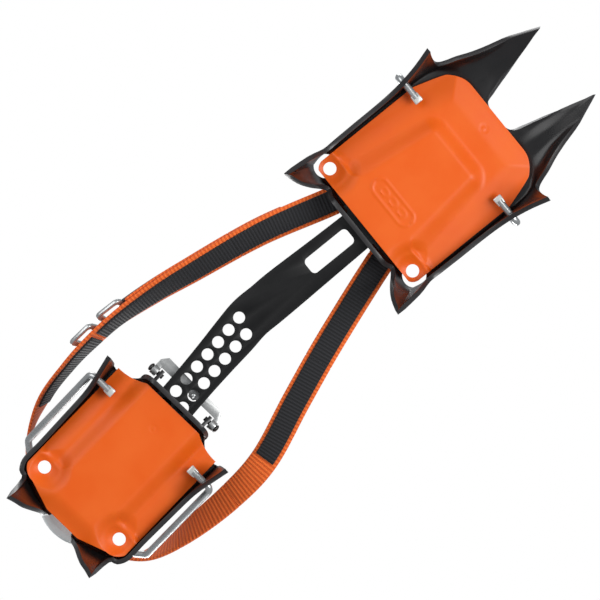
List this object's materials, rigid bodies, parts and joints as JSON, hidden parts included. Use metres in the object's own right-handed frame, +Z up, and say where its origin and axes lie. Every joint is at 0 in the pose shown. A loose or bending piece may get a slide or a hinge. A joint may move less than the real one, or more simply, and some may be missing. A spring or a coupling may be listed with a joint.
{
  "type": "crampon",
  "caption": "Step-in steel crampon for one boot: front and heel frames with points, anti-balling plates, linking bar, wire bails, heel lever and strap.",
  "frame": {"origin": "middle of the whole crampon's box, on the level of the down points' tips", "axes": "+Y towards the toe along the foot, +Z up towards the boot, +X to the wearer's right, the outer side of the right foot"},
  "size_m": [0.126, 0.3696, 0.1504],
  "materials": {
    "blackened_steel": "satin black",
    "orange_plastic": "fine moulded texture",
    "bright_wire": "bright drawn",
    "spring_steel": "dull spring steel",
    "pale_alloy": "pale anodised",
    "orange_webbing": "woven",
    "black_webbing": "ribbed weave",
    "grey_tape": "dark grey"
  },
  "bodies": {
    "front_section": {"front_antiball_plate": "orange_plastic", "front_frame": "blackened_steel", "sleeve_front_left": "black_webbing", "sleeve_front_right": "black_webbing", "strap_front_left": "orange_webbing", "strap_front_right": "orange_webbing"},
    "toe_bail": {"strap_toe_loop": "orange_webbing", "toe_bail": "bright_wire"},
    "linking_bar": {"linking_bar": "blackened_steel", "sleeve_middle_left": "black_webbing", "sleeve_middle_right": "black_webbing", "strap_middle_left": "orange_webbing", "strap_middle_right": "orange_webbing", "strap_pull_tab": "grey_tape", "strap_tail": "orange_webbing"},
    "heel_section": {"clip_rivet_left": "bright_wire", "clip_rivet_right": "bright_wire", "heel_antiball_plate": "orange_plastic", "heel_frame": "blackened_steel", "sleeve_rear_right": "black_webbing", "strap_rear_left": "orange_webbing", "strap_rear_right": "orange_webbing"},
    "adjuster_clip": {"adjuster_clip": "spring_steel", "adjuster_peg": "bright_wire"},
    "heel_bail": {"heel_bail": "bright_wire"},
    "heel_lever": {"heel_lever": "pale_alloy", "strap_heel": "orange_webbing"},
    "fine_adjuster": {"adjuster_screw": "bright_wire", "adjuster_wheel": "pale_alloy"},
    "heel_cradle": {"heel_cradle": "grey_tape"},
    "buckle_ring_fixed": {"buckle_ring_fixed": "bright_wire"},
    "buckle_ring_slider": {"buckle_ring_slider": "bright_wire"}
  },
  "joints": [
    {"name": "toe_bail_swing", "type": "hinge", "parent": "front_section", "child": "toe_bail", "pos_m": [0.01052, 0.11127, 0.02938], "axis": [1, 0, 0], "range_deg": [-70, 70], "deforming": ["strap_toe_loop", "strap_front_right", "strap_front_left", "sleeve_front_right", "sleeve_front_left"]},
    {"name": "bar_hinge", "type": "hinge", "parent": "front_section", "child": "linking_bar", "pos_m": [0.01052, 0.04402, 0.03288], "axis": [1, 0, 0], "range_deg": [-8, 10], "deforming": ["strap_middle_right", "strap_middle_left", "sleeve_middle_right", "sleeve_middle_left", "strap_tail", "strap_pull_tab"]},
    {"name": "heel_slide", "type": "slide", "parent": "linking_bar", "child": "heel_section", "axis": [0.1788, 0.9839, 0], "range_m": [-0.0084, 0.042], "deforming": ["strap_rear_right", "strap_rear_left", "sleeve_rear_right", "adjuster_clip", "adjuster_peg"]},
    {"name": "clip_lift", "type": "hinge", "parent": "heel_section", "child": "adjuster_clip", "pos_m": [0.00001, -0.0809, 0.03718], "axis": [0.9925, -0.1219, 0], "range_deg": [0, 70]},
    {"name": "heel_bail_swing", "type": "hinge", "parent": "heel_section", "child": "heel_bail", "pos_m": [-0.00294, -0.10492, 0.02938], "axis": [0.9925, -0.1219, 0], "range_deg": [-60, 30], "deforming": ["strap_heel"]},
    {"name": "lever_open", "type": "hinge", "parent": "heel_bail", "child": "heel_lever", "pos_m": [-0.01074, -0.16844, 0.10046], "axis": [0.9925, -0.1219, 0], "range_deg": [0, 100]},
    {"name": "adjuster_turn", "type": "hinge", "parent": "heel_lever", "child": "fine_adjuster", "pos_m": [-0.01074, -0.16844, 0.09058], "axis": [0, 0, 1], "range_deg": [-630.5, 630.5]},
    {"name": "cradle_travel", "type": "slide", "parent": "heel_lever", "child": "heel_cradle", "axis": [0, 0, 1], "range_m": [-0.0014, 0.0014]},
    {"name": "ring_fixed_swing", "type": "hinge", "parent": "heel_section", "child": "buckle_ring_fixed", "pos_m": [0.05569, -0.10551, 0.07374], "axis": [0.6274, -0.3131, -0.713], "range_deg": [-4, 20]},
    {"name": "ring_slider_swing", "type": "hinge", "parent": "buckle_ring_fixed", "child": "buckle_ring_slider", "pos_m": [0.05701, -0.08754, 0.06922], "axis": [0.7581, -0.0695, -0.6484], "range_deg": [-4, 20]}
  ],
  "couplings": [
    {"joint": "adjuster_turn", "follows": "cradle_travel", "rad_per_m": 7854}
  ]
}
